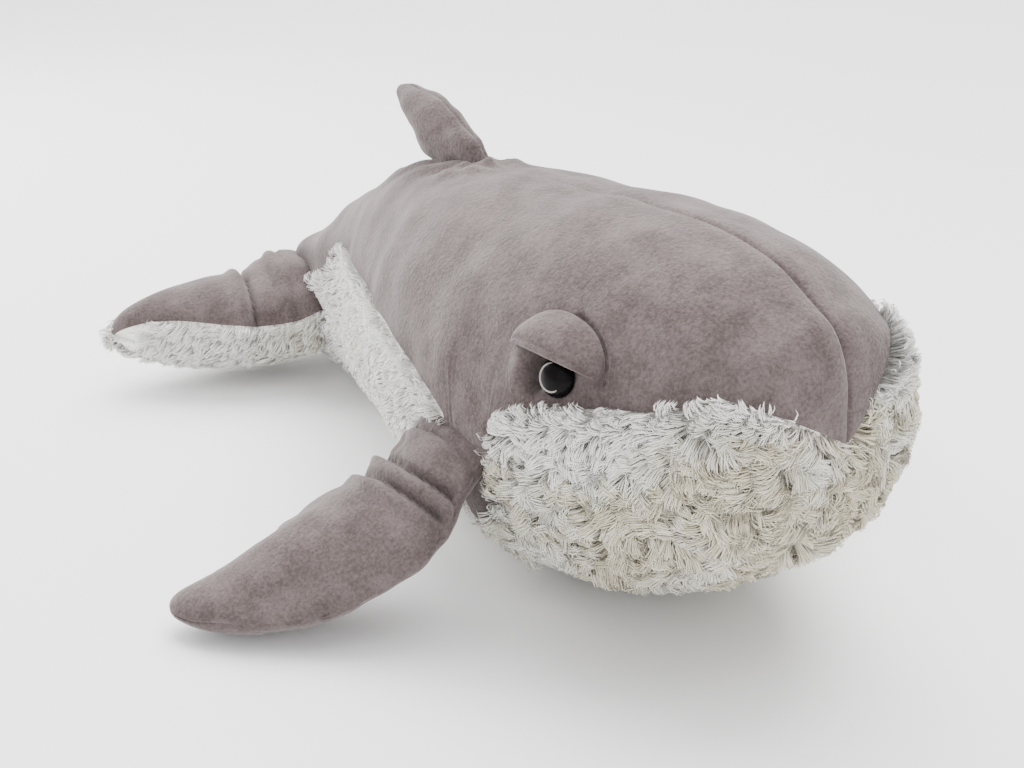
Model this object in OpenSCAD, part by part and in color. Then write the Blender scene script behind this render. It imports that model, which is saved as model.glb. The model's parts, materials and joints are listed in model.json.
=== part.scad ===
// Plush whale, about 0.61 m long, lying on its belly.
// X is across, the head points to -Y, Z is up, and the floor is z = 0.
// The whale's right side is -X. Every fabric panel is a closed shell, and
// each stuffed part has its own filling. The flippers, the tail with its
// fluke, and the dorsal fin are separate bodies that bend at sewn roots.

/* [Body] */
// Length from the front ring of the head to the end of the tail stock
body_len = 560; // [540:1:580]
// Greatest width of the body, over the flippers' roots
body_w = 219; // [205:1:225]
// Height of the body at the top of the head
body_h = 219; // [210:1:225]
// How far the rounded nose stands in front of the head's front ring
nose_depth = 27; // [22:1:32]
// Thickness of the fabric and its pile backing
fabric_t = 3; // [2:0.5:4]

/* [Tail and fluke] */
// Width of the fluke from tip to tip
fluke_span = 338; // [320:1:350]
// Distance of the tail's bending line behind the middle of the whale
tail_hinge_y = 200; // [196:1:204]
// Height of the tail's bending line
tail_hinge_z = 63; // [61:1:65]
// Radius of the rounded root that turns in the end of the body
knuckle_r = 60; // [56:1:60]
// Running gap round the tail's root
knuckle_gap = 2.5; // [2:0.5:4]

/* [Flippers] */
// Distance of a flipper's sewn root from the middle plane
flipper_hinge_x = 119; // [118:1:122]
// Height of a flipper's sewn root
flipper_hinge_z = 66; // [62:1:70]
// Distance of a flipper's tip from the middle plane
flipper_tip_x = 256; // [245:1:265]
// Widest part of a flipper, front to back
flipper_w = 100; // [90:1:106]
// Half the thickness of a flipper where it is sewn on
flipper_root_r = 11; // [9:1:12]

/* [Dorsal fin] */
// Height of the dorsal fin above its sewn root
fin_h = 42; // [36:1:55]
// Length of the dorsal fin's root along the back
fin_root_len = 72; // [66:1:78]
// How far the tip leans back behind the middle of the root
fin_lean = 50; // [40:1:58]
// Half the thickness of the dorsal fin where it is sewn on
fin_root_r = 8; // [6:1:9]

/* [Eyes] */
// Diameter of each eye
eye_d = 21; // [19:1:22]
// How far the middle of an eye stands out of the fabric
eye_dome = 6; // [5:0.5:7]
// Diameter of the stem behind each eye
eye_stem_d = 5; // [4:0.5:6]

/* [Hidden] */

mauve = [0.60, 0.54, 0.53];
cream = [0.90, 0.88, 0.83];
fibre = [0.96, 0.96, 0.96];
black = [0.06, 0.05, 0.05];
ring_grey = [0.72, 0.70, 0.68];
nylon = [0.92, 0.92, 0.90];

fill_gap = 0.3;                 // between a filling and the fabric round it
fill_inset = fabric_t + fill_gap;
body_fill_inset = fabric_t + 1.5;   // the body's facets are larger, so its filling keeps further off
y_front = 2 - body_len / 2;     // front ring of the head, which centres the box
oval = 0.9;                     // exponent that makes the body's section fuller than an ellipse
nose_lift = 6;                  // the nose's point stands above the head's middle height
nose_round = 0.8;
lip_angle = 52;                 // how far the body's end reaches round the tail's root
lip_r = knuckle_r + knuckle_gap;

// Body stations: place along the body, then half width, top and bottom as
// shares of body_w / 2, body_h and body_h.
spine = [
    [0.00, 0.60, 0.89, 0.290],
    [0.06, 0.72, 0.97, 0.140],
    [0.16, 0.90, 1.00, 0.020],
    [0.24, 0.98, 0.99, -0.015],
    [0.31, 1.00, 0.97, -0.015],
    [0.46, 0.88, 0.95, -0.015],
    [0.62, 0.60, 0.88, -0.015],
    [0.80, 0.36, 0.69, 0.005],
    [1.00, 0.22, 0.42, 0.030],
];
// Height of the seam between back and belly along the body, in mm. It dips
// under each flipper's root and rises to a point before the tail.
seam = [
    [0.00, 148], [0.08, 140], [0.19, 132], [0.22, 114], [0.242, 50],
    [0.272, 45], [0.296, 112], [0.34, 121], [0.50, 132], [0.68, 130],
    [0.73, 126], [0.80, 92],
];
body_t = [
    0, 0.02, 0.05, 0.09, 0.13, 0.17, 0.20, 0.215, 0.223, 0.229, 0.235, 0.242, 0.257, 0.272, 0.279,
    0.286, 0.296, 0.33, 0.38, 0.44, 0.50, 0.56, 0.62, 0.68, 0.725,
];
tail_t = (tail_hinge_y - lip_r * cos(lip_angle) - y_front) / body_len;
nose_q = [0, 20, 40, 60, 76];
body_rows = concat([for (q = nose_q) [0, q]], [for (t = body_t) [t, 90]], [[tail_t, 90]]);
back_steps = 9;
belly_steps = 14;

// Fluke stations: share of the half span, then middle y, reach forwards,
// reach backwards, middle z, reach up, reach down, in mm. Up to the second
// station it is the round root that turns in the end of the body.
fluke_keys = [
    [0.00, tail_hinge_y, knuckle_r, 88, tail_hinge_z, knuckle_r, knuckle_r],
    [0.08, tail_hinge_y, knuckle_r, 88, tail_hinge_z, knuckle_r, knuckle_r],
    [0.19, 206, 54, 80, 55, 38, 50],
    [0.30, 246, 54, 57, 43, 35, 41],
    [0.53, 254, 49, 50, 41, 37, 39],
    [0.77, 263, 32, 30, 38, 34, 36],
    [1.00, 272, 22, 20, 34, 28, 31],
];
fluke_rows = [-1, -0.985, -0.94, -0.86, -0.77, -0.65, -0.53, -0.42, -0.34, -0.28, -0.235, -0.19,
    -0.13, -0.08, 0, 0.08, 0.13, 0.19, 0.235, 0.28, 0.34, 0.42, 0.53, 0.65, 0.77, 0.86, 0.94, 0.985, 1];
fluke_steps = 9;

// Flipper stations: share of the way to the tip, then middle y, middle z,
// half width as a share of flipper_w / 2, and half thickness in mm.
flipper_keys = [
    [0.00, -110, flipper_hinge_z, 0.84, flipper_root_r],
    [0.12, -110, 54, 0.96, 17],
    [0.35, -107, 37, 1.00, 20],
    [0.62, -98, 22, 0.80, 18.5],
    [0.82, -88, 17, 0.58, 15],
    [1.00, -78, 15, 0.44, 12],
];
flipper_rows = [0.06, 0.12, 0.2, 0.3, 0.42, 0.54, 0.66, 0.77, 0.86, 0.93, 0.98, 1];
flipper_steps = 8;

// Dorsal fin stations: share of the height, then half width as a share of
// fin_root_len / 2, and half thickness in mm.
fin_keys = [
    [0.00, 1.00, fin_root_r],
    [0.22, 0.90, 11.5],
    [0.60, 0.76, 11.5],
    [1.00, 0.56, 9],
];
fin_rows = [0.08, 0.16, 0.28, 0.42, 0.56, 0.7, 0.82, 0.91, 0.97, 1];
fin_steps = 7;
fin_clearance = 1.5;
fin_y = 51;                     // middle of the fin's root
fin_tilt = 11;                  // slope of the back under the fin
root_q = [0, 30, 60, 90];       // steps round a sewn root

eye_t = 0.15;
eye_sink = 1.8;                 // how far the eye presses into the plush
eye_a = 160;
lid_t = 0.164;                  // middle of the eyelid along the body
lid_reach = 0.052;              // half its length along the body
lid_a = 160.5;                  // angle of the lower free edge
lid_rise = 15;                  // how far the sewn edge stands above it, in degrees
lid_hood = 8;                   // how far the free edge stands off the fabric
lid_gap = 1.2;
lid_fabric = 2.4;
lid_u = [-1, -0.9, -0.7, -0.45, -0.2, 0, 0.2, 0.45, 0.7, 0.9, 1];
lid_steps = 6;
ring_inner = 0.60;              // shares of the eye's radius
ring_outer = 0.72;
ring_depth = 0.8;
rim_h = 1.5;
stem_len = 12;
washer_r = 9;
washer_t = 2;
washer_play = 0.1;

// ---- curves -------------------------------------------------------------
function signed_power(v, e) = sign(v) * abs(v) ^ e;
function segment(keys, x, i = 0) =
    i >= len(keys) - 2 || x < keys[i + 1][0] ? i : segment(keys, x, i + 1);
function rise(keys, i, c) =
    (keys[i + 1][c] - keys[i][c]) / (keys[i + 1][0] - keys[i][0]);
function tangent(keys, i, c) =
    i == 0 ? rise(keys, 0, c)
    : i == len(keys) - 1 ? rise(keys, i - 1, c)
    : let (a = rise(keys, i - 1, c), b = rise(keys, i, c)) a * b <= 0 ? 0 : 2 * a * b / (a + b);
// Smooth curve through column c of the keys, with no overshoot
function curve(keys, x, c) =
    let (
        i = segment(keys, x),
        h = keys[i + 1][0] - keys[i][0],
        u = (x - keys[i][0]) / h
    )
    (1 + 2 * u) * (1 - u) ^ 2 * keys[i][c] + u * (1 - u) ^ 2 * h * tangent(keys, i, c)
    + u * u * (3 - 2 * u) * keys[i + 1][c] + u * u * (u - 1) * h * tangent(keys, i + 1, c);

// ---- shells from grids of points ----------------------------------------
function same(a, b) = norm(a - b) < 0.0001;
function whole(p, f) =
    !same(p[f[0]], p[f[1]]) && !same(p[f[1]], p[f[2]]) && !same(p[f[2]], p[f[0]]);
function quad(a, b, c, d) = [[a, b, c], [a, c, d]];
function flat_list(lists) = [for (l = lists) each l];
function flipped(faces) = [for (f = faces) [f[2], f[1], f[0]]];

// A panel: outer and inner are grids with the same rows and columns
module panel(outer, inner, turn = false) {
    rows = len(outer);
    cols = len(outer[0]);
    n = rows * cols;
    points = concat(flat_list(outer), flat_list(inner));
    faces = flat_list([
        for (i = [0:rows - 2]) for (j = [0:cols - 2])
            let (a = i * cols + j, b = a + 1, c = b + cols, d = a + cols)
            concat(quad(a, b, c, d), flipped(quad(a + n, b + n, c + n, d + n))),
        for (i = [0:rows - 2])
            let (a = i * cols, d = a + cols)
            quad(a, d, d + n, a + n),
        for (i = [0:rows - 2])
            let (a = i * cols + cols - 1, d = a + cols)
            quad(a, a + n, d + n, d),
        for (j = [0:cols - 2])
            quad(j, j + n, j + 1 + n, j + 1),
        for (j = [n - cols:n - 2])
            quad(j, j + 1, j + 1 + n, j + n),
    ]);
    kept = [for (f = faces) if (whole(points, f)) f];
    polyhedron(points, turn ? flipped(kept) : kept);
}

// A filling: a grid whose columns close round. With lid = true the last row
// is closed by strips across it, since column j mirrors column cols - j.
module filling(grid, turn = false, lid = false) {
    rows = len(grid);
    cols = len(grid[0]);
    points = flat_list(grid);
    last = (rows - 1) * cols;
    faces = flat_list([
        for (i = [0:rows - 2]) for (j = [0:cols - 1])
            let (a = i * cols + j, b = i * cols + (j + 1) % cols)
            quad(a, b, b + cols, a + cols),
        if (lid) for (j = [0:cols / 2 - 1])
            quad(last + j, last + j + 1, last + (cols - j - 1) % cols, last + (cols - j) % cols),
    ]);
    kept = [for (f = faces) if (whole(points, f)) f];
    polyhedron(points, turn ? flipped(kept) : kept);
}

function steps(from, to, n) = [for (k = [0:n]) from + (to - from) * k / n];

// ---- body ----------------------------------------------------------------
function body_half_w(t) = body_w / 2 * curve(spine, t, 1);
function body_top(t) = body_h * curve(spine, t, 2);
function body_bottom(t) = body_h * curve(spine, t, 3);
function tail_end_y(z) =
    tail_hinge_y - sqrt(max(lip_r ^ 2 - (z - tail_hinge_z) ^ 2, (lip_r * cos(lip_angle)) ^ 2));

// Point of the body at row [t, q] and angle a from +X over the top. q is
// below 90 on the nose. The belly is flat where it meets the floor.
function body_point(row, a, inset) =
    let (
        t = row[0],
        size = sin(row[1]) ^ nose_round,
        mid = (body_top(t) + body_bottom(t)) / 2 + nose_lift * cos(row[1]),
        w = (body_half_w(t) - inset) * size,
        h = ((body_top(t) - body_bottom(t)) / 2 - inset) * size,
        z = max(inset, mid + h * signed_power(sin(a), oval)),
        y = y_front + body_len * t - (nose_depth - inset) * cos(row[1])
    )
    [w * signed_power(cos(a), oval), t == tail_t ? tail_end_y(z) : y, z];

// Angle of the right-hand seam between back and belly
function seam_angle(row) =
    let (
        t = row[0],
        mid = (body_top(t) + body_bottom(t)) / 2,
        h = (body_top(t) - body_bottom(t)) / 2,
        v = (curve(seam, t, 1) - mid) / h
    )
    180 - asin(signed_power(v, 1 / oval));

function body_grid(inset, from_top, n) = [
    for (row = body_rows)
        let (s = seam_angle(row))
        [for (a = from_top ? steps(90, s, n) : steps(s, 540 - s, n)) body_point(row, a, inset)]
];
module back_half() panel(body_grid(0, true, back_steps), body_grid(fabric_t, true, back_steps));

module back_panel_right() color(mauve) back_half();
module back_panel_left() color(mauve) mirror([1, 0, 0]) back_half();
module belly_panel()
    color(cream) panel(body_grid(0, false, belly_steps), body_grid(fabric_t, false, belly_steps));
// Angles all round a row, with corners where the panels have theirs
function ring_angles(s) = concat(
    [for (k = [0:back_steps - 1]) 90 + (s - 90) * k / back_steps],
    [for (k = [0:belly_steps - 1]) s + (540 - 2 * s) * k / belly_steps],
    [for (k = [0:back_steps - 1]) 540 - s + (s - 90) * k / back_steps]
);
module body_filling() color(fibre) filling([
    for (row = body_rows) [for (a = ring_angles(seam_angle(row))) body_point(row, a, body_fill_inset)]
], lid = true);

// ---- tail with its fluke ---------------------------------------------------
// Section at share v of the half span, angle a from the rear over the top
function fluke_point(v, a, inset) =
    let (
        s = abs(v),
        round_off = sqrt(max(1 - s ^ 8, 0)),
        reach_y = curve(fluke_keys, s, cos(a) < 0 ? 2 : 3) * round_off,
        reach_z = curve(fluke_keys, s, sin(a) < 0 ? 6 : 5) * round_off,
        x = v * (fluke_span / 2 - inset)
    )
    [
        x,
        curve(fluke_keys, s, 1) + max(reach_y - inset, 0) * cos(a),
        curve(fluke_keys, s, 4) + max(reach_z - inset, 0) * sin(a),
    ];
function fluke_grid(inset, from, to) =
    [for (v = fluke_rows) [for (a = steps(from, to, fluke_steps)) fluke_point(v, a, inset)]];

module fluke_skin(from, to)
    panel(fluke_grid(0, from, to), fluke_grid(fabric_t, from, to), turn = true);

module fluke_top()
    color(mauve) fluke_skin(0, 180);
module fluke_underside()
    color(cream) fluke_skin(180, 360);
module fluke_filling() color(fibre) filling([
    for (v = fluke_rows) [for (k = [0:2 * fluke_steps - 1]) fluke_point(v, 180 * k / fluke_steps, fill_inset)]
], turn = true);

// ---- flippers ----------------------------------------------------------------
// Rows are [share, q]. q below 90 is the rounded edge at the sewn root.
flipper_all_rows = concat([for (q = root_q) [0, q]], [for (s = flipper_rows) [s, 90]]);
function flipper_point(row, a, inset) =
    let (
        s = row[0],
        round_off = sqrt(max(1 - s ^ 8, 0)),
        half_w = max(curve(flipper_keys, s, 3) * flipper_w / 2 * round_off - inset, 0),
        half_t = max(curve(flipper_keys, s, 4) * round_off - inset, 0) * sin(row[1]),
        x = flipper_hinge_x + (flipper_tip_x - inset - flipper_hinge_x) * s
            - (flipper_root_r - inset) * cos(row[1])
    )
    [-x, curve(flipper_keys, s, 1) + half_w * cos(a), curve(flipper_keys, s, 2) + half_t * sin(a)];
function flipper_grid(inset, from, to) =
    [for (row = flipper_all_rows) [for (a = steps(from, to, flipper_steps)) flipper_point(row, a, inset)]];
module flipper_skin(from, to)
    panel(flipper_grid(0, from, to), flipper_grid(fabric_t, from, to), turn = true);
module flipper_stuffing() filling([
    for (row = flipper_all_rows)
        [for (k = [0:2 * flipper_steps - 1]) flipper_point(row, 180 * k / flipper_steps, fill_inset)]
]);

module flipper_right_upper() color(mauve) flipper_skin(180, 0);
module flipper_right_under() color(mauve) flipper_skin(360, 180);
module flipper_right_filling() color(fibre) flipper_stuffing();
module flipper_left_upper() color(mauve) mirror([1, 0, 0]) flipper_skin(180, 0);
module flipper_left_under() color(mauve) mirror([1, 0, 0]) flipper_skin(360, 180);
module flipper_left_filling() color(fibre) mirror([1, 0, 0]) flipper_stuffing();

// ---- dorsal fin -----------------------------------------------------------------
fin_z = body_top((fin_y - y_front) / body_len) + fin_root_r + fin_clearance;
fin_all_rows = concat([for (q = root_q) [0, q]], [for (s = fin_rows) [s, 90]]);
function fin_point(row, a, inset) =
    let (
        s = row[0],
        round_off = sqrt(max(1 - s ^ 8, 0)),
        half_w = max(curve(fin_keys, s, 1) * fin_root_len / 2 * round_off - inset, 0),
        half_t = max(curve(fin_keys, s, 2) * round_off - inset, 0) * sin(row[1])
    )
    [
        half_t * sin(a),
        fin_lean * s + half_w * cos(a),
        (fin_h - inset) * s - (fin_root_r - inset) * cos(row[1]),
    ];
function fin_grid(inset, from, to) =
    [for (row = fin_all_rows) [for (a = steps(from, to, fin_steps)) fin_point(row, a, inset)]];
module on_back() translate([0, fin_y, fin_z]) rotate([-fin_tilt, 0, 0]) children();
module fin_skin(from, to)
    on_back() panel(fin_grid(0, from, to), fin_grid(fabric_t, from, to), turn = true);

module dorsal_fin_left() color(mauve) fin_skin(180, 0);
module dorsal_fin_right() color(mauve) fin_skin(360, 180);
module dorsal_fin_filling() color(fibre) on_back() filling([
    for (row = fin_all_rows)
        [for (k = [0:2 * fin_steps - 1]) fin_point(row, 180 * k / fin_steps, fill_inset)]
]);

// ---- eyes and eyelids --------------------------------------------------------------
function unit(v) = v / norm(v);
probe = 0.01;
eye_at = body_point([eye_t, 90], eye_a, 0);
eye_normal = unit(cross(
    body_point([eye_t + probe, 90], eye_a, 0) - body_point([eye_t - probe, 90], eye_a, 0),
    body_point([eye_t, 90], eye_a + 1, 0) - body_point([eye_t, 90], eye_a - 1, 0)
));
eye_r = eye_d / 2;
function dome_z(r) = rim_h + (eye_dome - rim_h) * sqrt(max(1 - (r / eye_r) ^ 2, 0));
ring_r0 = ring_inner * eye_r;
ring_r1 = ring_outer * eye_r;
dome_shares = [0.97, 0.92, 0.85, 0.78];
pupil_shares = [0.5, 0.38, 0.25, 0.12];

module at_eye() translate(eye_at) rotate([0, acos(eye_normal[2]), atan2(eye_normal[1], eye_normal[0])])
    translate([0, 0, -eye_sink]) children();
module eye_body() at_eye() rotate_extrude($fn = 48) polygon(concat(
    [[0, -stem_len], [eye_stem_d / 2, -stem_len], [eye_stem_d / 2, 0], [eye_r, 0], [eye_r, rim_h]],
    [for (s = dome_shares) [s * eye_r, dome_z(s * eye_r)]],
    [[ring_r1, dome_z(ring_r1)], [ring_r1, dome_z(ring_r1) - ring_depth]],
    [[ring_r0, dome_z(ring_r0) - ring_depth], [ring_r0, dome_z(ring_r0)]],
    [for (s = pupil_shares) [s * eye_r, dome_z(s * eye_r)]],
    [[0, eye_dome]]
));
module eye_ring() at_eye() rotate_extrude($fn = 48) polygon([
    [ring_r0, dome_z(ring_r0) - ring_depth], [ring_r1, dome_z(ring_r1) - ring_depth],
    [ring_r1, dome_z(ring_r1)], [ring_r0, dome_z(ring_r0)],
]);
module eye_washer() at_eye() translate([0, 0, eye_sink - fill_inset - washer_t - 1]) difference() {
    cylinder(h = washer_t, r = washer_r, $fn = 48);
    translate([0, 0, -1]) cylinder(h = washer_t + 2, r = eye_stem_d / 2 + washer_play, $fn = 48);
}

// The eyelid is a half moon of fabric: its arched edge is sewn to the back
// panel, and its lower edge is free and stands off over the eye.
function lid_point(u, k, lift) =
    let (
        arch = sqrt(max(1 - u * u, 0)),
        share = k / lid_steps,
        a = lid_a - lid_rise * arch * (1 - share),
        off = lid_gap + lid_hood * arch * share ^ 1.5 + lift
    )
    body_point([lid_t + lid_reach * u, 90], a, -off);
function lid_grid(lift) = [for (u = lid_u) [for (k = [0:lid_steps]) lid_point(u, k, lift)]];
module eyelid() panel(lid_grid(lid_fabric), lid_grid(0));

module eyelid_right() color(mauve) eyelid();
module eyelid_left() color(mauve) mirror([1, 0, 0]) eyelid();
module eye_right() color(black) eye_body();
module eye_left() color(black) mirror([1, 0, 0]) eye_body();
module eye_ring_right() color(ring_grey) eye_ring();
module eye_ring_left() color(ring_grey) mirror([1, 0, 0]) eye_ring();
module eye_washer_right() color(nylon) eye_washer();
module eye_washer_left() color(nylon) mirror([1, 0, 0]) eye_washer();

back_panel_right();
back_panel_left();
belly_panel();
body_filling();
fluke_top();
fluke_underside();
fluke_filling();
flipper_right_upper();
flipper_right_under();
flipper_right_filling();
flipper_left_upper();
flipper_left_under();
flipper_left_filling();
dorsal_fin_right();
dorsal_fin_left();
dorsal_fin_filling();
eyelid_right();
eyelid_left();
eye_right();
eye_left();
eye_ring_right();
eye_ring_left();
eye_washer_right();
eye_washer_left();
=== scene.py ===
# %% [markdown]
# # A plush whale, from its frame to its fur
# The whale is a stuffed toy: mauve short-pile plush above, long cream fur below, all of it
# pushed out by fibre filling. The CAD frame holds its size, its joints and its simple solids.
# This lesson makes what is seen: stuffed skins with seams and folds, two kinds of pile, the
# eyes under their hoods, and a soft studio round it. Every length is in metres.

# %% Load the frame and keep its box
import json
import math

import bmesh
import bpy
import numpy as np
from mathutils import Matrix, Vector
from mathutils.kdtree import KDTree


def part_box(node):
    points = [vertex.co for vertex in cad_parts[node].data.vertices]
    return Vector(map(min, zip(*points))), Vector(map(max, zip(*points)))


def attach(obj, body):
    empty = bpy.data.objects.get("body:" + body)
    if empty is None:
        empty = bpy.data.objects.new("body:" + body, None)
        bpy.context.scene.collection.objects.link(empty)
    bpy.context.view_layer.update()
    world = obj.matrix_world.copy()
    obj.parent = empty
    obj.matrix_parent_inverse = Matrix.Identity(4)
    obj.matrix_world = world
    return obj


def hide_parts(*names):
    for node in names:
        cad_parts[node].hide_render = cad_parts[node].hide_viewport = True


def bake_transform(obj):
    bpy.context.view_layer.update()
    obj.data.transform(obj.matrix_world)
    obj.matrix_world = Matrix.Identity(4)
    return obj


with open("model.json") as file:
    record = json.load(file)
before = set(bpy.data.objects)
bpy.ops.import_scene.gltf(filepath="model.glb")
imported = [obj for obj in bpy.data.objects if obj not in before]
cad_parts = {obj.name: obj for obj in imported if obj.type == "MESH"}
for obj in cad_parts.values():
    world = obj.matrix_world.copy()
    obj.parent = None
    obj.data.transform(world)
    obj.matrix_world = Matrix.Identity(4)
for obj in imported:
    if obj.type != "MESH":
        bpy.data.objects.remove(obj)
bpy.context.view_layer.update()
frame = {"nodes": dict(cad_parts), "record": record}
MM = 0.001

# %% [markdown]
# ## Smooth curves from a few stations
# A maker drafts a soft toy from a few measured stations: here it is so wide, there so high.
# A curve through the stations must not overshoot, or a bump appears where there was none, so
# the slope at each station is the harmonic mean of the slopes on both sides.


# %% Curves, mixes and directions
def smooth_curve(stations, x, column):
    """Value of one column of the stations at x, on a smooth curve with no overshoot."""
    table = np.array(stations, float)
    place, value = table[:, 0], table[:, column]
    step = np.diff(place)
    rise = np.diff(value) / step
    slope = np.concatenate([rise[:1], np.zeros(len(rise) - 1), rise[-1:]])
    before, after = rise[:-1], rise[1:]
    same_way = before * after > 0
    total = np.where(same_way, before + after, 1.0)
    slope[1:-1] = np.where(same_way, 2 * before * after / total, 0.0)
    x = np.asarray(x, float)
    i = np.clip(np.searchsorted(place, x, side="right") - 1, 0, len(step) - 1)
    u = (x - place[i]) / step[i]
    return (
        (1 + 2 * u) * (1 - u) ** 2 * value[i]
        + u * (1 - u) ** 2 * step[i] * slope[i]
        + u * u * (3 - 2 * u) * value[i + 1]
        + u * u * (u - 1) * step[i] * slope[i + 1]
    )


def curves_at(stations, x):
    """Every column of the stations at x."""
    return [smooth_curve(stations, x, column) for column in range(1, len(stations[0]))]


def soft_step(x, low, high):
    """0 below low, 1 above high, and smooth between."""
    u = np.clip((np.asarray(x, float) - low) / (high - low), 0, 1)
    return u * u * (3 - 2 * u)


def bump(x, middle, width):
    """A smooth hill of height 1."""
    return np.exp(-(((np.asarray(x, float) - middle) / width) ** 2))


def hill(points, middle, size, power=1.0):
    """A smooth hill of height 1 in space, with its own size along each axis."""
    return np.exp(-((((points - np.array(middle)) / np.array(size)) ** 2).sum(-1) ** power))


def unit(v):
    return v / np.maximum(np.linalg.norm(v, axis=-1, keepdims=True), 1e-12)


def signed_power(v, exponent):
    return np.sign(v) * np.abs(v) ** exponent


def wavy(points, size, seed):
    """Smooth noise from a few sine waves in random directions, about -1 to 1."""
    rng = np.random.default_rng(seed)
    total = np.zeros(points.shape[:-1])
    for _ in range(7):
        wave = unit(rng.normal(size=3)) * 2 * np.pi / (size * rng.uniform(0.7, 1.5))
        total += np.sin(points @ wave + rng.uniform(0, 2 * np.pi))
    return total / 3.2


def above_floor(points, gap):
    """The points, none of them lower than the gap."""
    return np.concatenate([points[..., :2], np.maximum(points[..., 2:], gap)], -1)


MIRROR = {"right": np.array([1, 1, 1]), "left": np.array([-1, 1, 1])}
print("curve helpers are ready")

# %% [markdown]
# ## The body's form
# The body is drafted as a grid of points: rows run from the nose to the tail stock, and
# columns run round it. The stations stay close to the frame's, so the form fills its solids.
# The rows are then smoothed together, which rounds the head the way filling rounds cloth.

# %% Body stations
BODY_LEN = 0.560
BODY_W = 0.219
BODY_H = 0.219
NOSE_DEPTH = 0.027
Y_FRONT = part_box("belly_panel")[0][1] + NOSE_DEPTH
OVAL = 0.9
NOSE_LIFT = 0.006
# share of the length, half width / (BODY_W / 2), top / BODY_H, bottom / BODY_H
SPINE = [
    (0.00, 0.60, 0.89, 0.290),
    (0.06, 0.72, 0.97, 0.140),
    (0.16, 0.90, 1.00, 0.020),
    (0.24, 0.98, 0.99, -0.015),
    (0.31, 1.00, 0.97, -0.015),
    (0.46, 0.88, 0.95, -0.015),
    (0.62, 0.60, 0.88, -0.015),
    (0.80, 0.345, 0.670, 0.005),
    (0.90, 0.265, 0.520, 0.020),
    (1.00, 0.215, 0.370, 0.050),
    (1.035, 0.18, 0.30, 0.080),
]
# share of the length, and height of the seam between plush and fur
SEAM = [
    (0.00, 0.163), (0.013, 0.1585), (0.055, 0.150), (0.10, 0.144), (0.14, 0.139),
    (0.185, 0.130), (0.215, 0.116), (0.232, 0.060),
    (0.275, 0.045), (0.292, 0.108), (0.34, 0.121), (0.50, 0.132), (0.68, 0.130),
    (0.74, 0.126), (0.80, 0.098), (0.87, 0.078), (0.91, 0.062), (0.96, 0.048), (1.035, 0.042),
]
# share of the rows that the nose takes, and shares of the length where the stock starts to
# close and ends, inside the fluke, at this height
NOSE_SHARE = 0.10
CLOSING_T = 0.94
STOCK_T = 1.01
TAIL_MIDDLE_Z = 0.046
ROWS = 300
COLUMNS = 320
FLOOR_GAP = 0.0012
# the seam by the nose stands this much higher on the left side
LEFT_RISE = 0.020


def stations_at(r):
    """Share of the length and nose angle for row position r, from 0 at the nose to 1."""
    r = np.asarray(r, float)
    t = np.clip((r - NOSE_SHARE) / (1 - NOSE_SHARE), 0, 1) * STOCK_T
    q = np.clip(r / NOSE_SHARE, 0, 1) * np.pi / 2
    return t, q


def drafted_body(r, angle):
    """Point of the drafted body at row r and angle from +X over the top."""
    t, q = stations_at(r)
    closing = np.clip((t - CLOSING_T) / (STOCK_T - CLOSING_T), 0, 1)
    size = np.sin(q) ** 0.8 * np.sqrt(1 - closing**2)
    width, top, bottom = curves_at(SPINE, t)
    top, bottom = BODY_H * top, BODY_H * bottom
    half_w = BODY_W / 2 * width * size
    half_h = (top - bottom) / 2 * size
    middle = (top + bottom) / 2 + NOSE_LIFT * np.cos(q)
    middle = middle + (TAIL_MIDDLE_Z - middle) * closing**2
    x = half_w * signed_power(np.cos(angle), OVAL)
    z = middle + half_h * signed_power(np.sin(angle), OVAL)
    y = Y_FRONT + BODY_LEN * t - NOSE_DEPTH * np.cos(q) + 0 * x
    return np.stack([x, y, z], -1)


def seam_angle(r, rise=0.0):
    """Angle of the seam between plush and fur at row r. rise lifts it by the nose."""
    t = stations_at(r)[0]
    top, bottom = (BODY_H * edge for edge in curves_at(SPINE, t)[1:])
    seam_z = smooth_curve(SEAM, t, 1) + rise * (1 - soft_step(t, 0.07, 0.21))
    share = (seam_z - (top + bottom) / 2) / ((top - bottom) / 2)
    return np.pi - np.arcsin(signed_power(np.clip(share, -1, 1), 1 / OVAL))


def smoothed(grid, passes):
    """Averages each point with its neighbours; the columns close round, the ends stay."""
    for _ in range(passes):
        around = (np.roll(grid, 1, 1) + np.roll(grid, -1, 1)) / 2
        along = grid.copy()
        along[1:-1] = (grid[:-2] + grid[2:]) / 2
        blended = 0.5 * grid + 0.2 * around + 0.3 * along
        blended[0] = blended[1].mean(0)
        blended[-1] = grid[-1]
        grid = blended
    return grid


def grid_normals(grid):
    """Outward normals of a grid whose columns close round."""
    around = np.roll(grid, -1, 1) - np.roll(grid, 1, 1)
    along = np.gradient(grid, axis=0)
    normal = unit(np.cross(around, along))
    normal[0] = normal[1].mean(0)
    middle = len(grid) // 2
    outward = normal[middle] * (grid[middle] - grid[middle].mean(0))
    return unit(normal) * np.sign(outward.sum())


row_at = np.linspace(0, 1, ROWS)
angle_at = np.arange(COLUMNS) / COLUMNS * 2 * np.pi
body_grid = drafted_body(row_at[:, None], angle_at[None, :])
body_grid = smoothed(body_grid, 60)


def between_rows(grid):
    """Twice the rows, on a smooth curve through the rows there are."""
    before = np.concatenate([grid[:1], grid[:-2]])
    after = np.concatenate([grid[2:], grid[-1:]])
    middle = (9 * (grid[:-1] + grid[1:]) - before - after) / 16
    doubled = np.empty((2 * len(grid) - 1, *grid.shape[1:]))
    doubled[::2], doubled[1::2] = grid, middle
    return doubled


smoothed_body = between_rows(body_grid)
smoothed_normal = grid_normals(smoothed_body)
print("body grid", smoothed_body.shape, "nose", smoothed_body[0, 0].round(4))

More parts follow.
